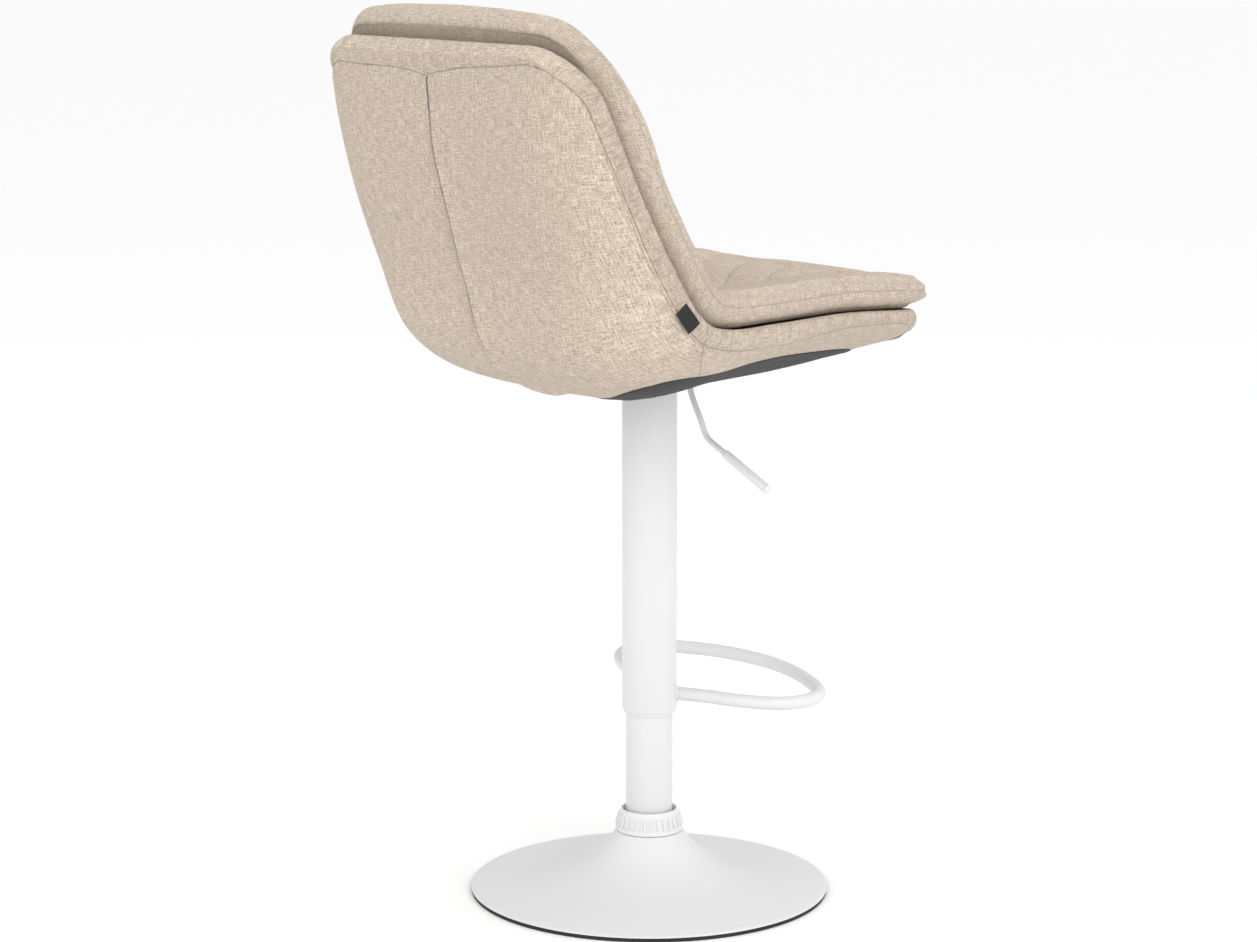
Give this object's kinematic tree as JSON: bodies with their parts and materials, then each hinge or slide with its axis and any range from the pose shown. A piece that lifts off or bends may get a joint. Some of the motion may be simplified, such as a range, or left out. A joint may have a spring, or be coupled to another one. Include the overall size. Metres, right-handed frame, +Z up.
{
  "type": "bar stool",
  "caption": "Height-adjustable swivel bar stool with an upholstered bucket seat, gas lift lever, footrest loop and round trumpet base.",
  "frame": {"origin": "floor level on the column axis", "axes": "+Z up along the column, -Y towards the seat's front, -X towards the lever, the sitter's right"},
  "size_m": [0.4374, 0.5529, 0.9569],
  "materials": {
    "powder_coat": "satin powder coat",
    "white_plastic": "moulded",
    "black_plastic": "plain",
    "black_rubber": "plain",
    "cast_weight": "rough",
    "steel": "plain",
    "plywood": "moulded",
    "linen": "woven, padded",
    "black_cloth": "ribbed"
  },
  "bodies": {
    "base": {"base_shell": "powder_coat", "floor_ring": "black_rubber", "base_weight": "cast_weight", "base_cover": "black_plastic", "base_socket": "steel", "base_bolt": "steel", "bolt_washer": "steel", "tube_plug": "steel", "base_collar": "white_plastic", "lower_tube": "powder_coat", "guide_bush": "black_plastic", "thrust_washer_low": "steel"},
    "piston": {"thrust_cage": "steel", "thrust_washer_top": "steel", "piston_rod": "steel", "piston_head": "steel", "bump_stop": "black_rubber"},
    "seat": {"pressure_tube": "steel", "rod_seal": "black_rubber", "cover_tube": "powder_coat", "cover_end_ring": "white_plastic", "footrest_ring": "powder_coat", "seat_hub": "steel", "seat_plate": "steel", "lever_bracket": "steel", "seat_bolt_1": "steel", "seat_bolt_2": "steel", "seat_bolt_3": "steel", "seat_bolt_4": "steel", "seat_washer_1": "steel", "seat_washer_2": "steel", "seat_washer_3": "steel", "seat_washer_4": "steel", "t_nut_1": "steel", "t_nut_2": "steel", "t_nut_3": "steel", "t_nut_4": "steel", "shell_board": "plywood", "shell_cover": "linen", "dust_cover": "black_cloth", "seat_pad": "linen", "fabric_label": "black_cloth"},
    "lever": {"lever_rod": "powder_coat", "lever_grip": "powder_coat"},
    "valve": {"valve_pin": "steel"}
  },
  "joints": [
    {"name": "swivel", "type": "hinge", "parent": "base", "child": "piston", "pos_m": [0, 0, 0.04], "axis": [0, 0, 1], "continuous": true},
    {"name": "lift", "type": "slide", "parent": "piston", "child": "seat", "axis": [0, 0, 1], "range_m": [0, 0.21]},
    {"name": "lever_lift", "type": "hinge", "parent": "seat", "child": "lever", "pos_m": [-0.032, 0, 0.598], "axis": [0, 1, 0], "range_deg": [0, 5], "stiffness_Nm_per_rad": 3, "springref_deg": -2.86},
    {"name": "valve_press", "type": "slide", "parent": "seat", "child": "valve", "axis": [0, 0, -1], "range_m": [0, 0.003], "stiffness_N_per_m": 200}
  ],
  "couplings": [
    {"joint": "valve_press", "follows": "lever_lift", "m_per_rad": 0.032}
  ]
}
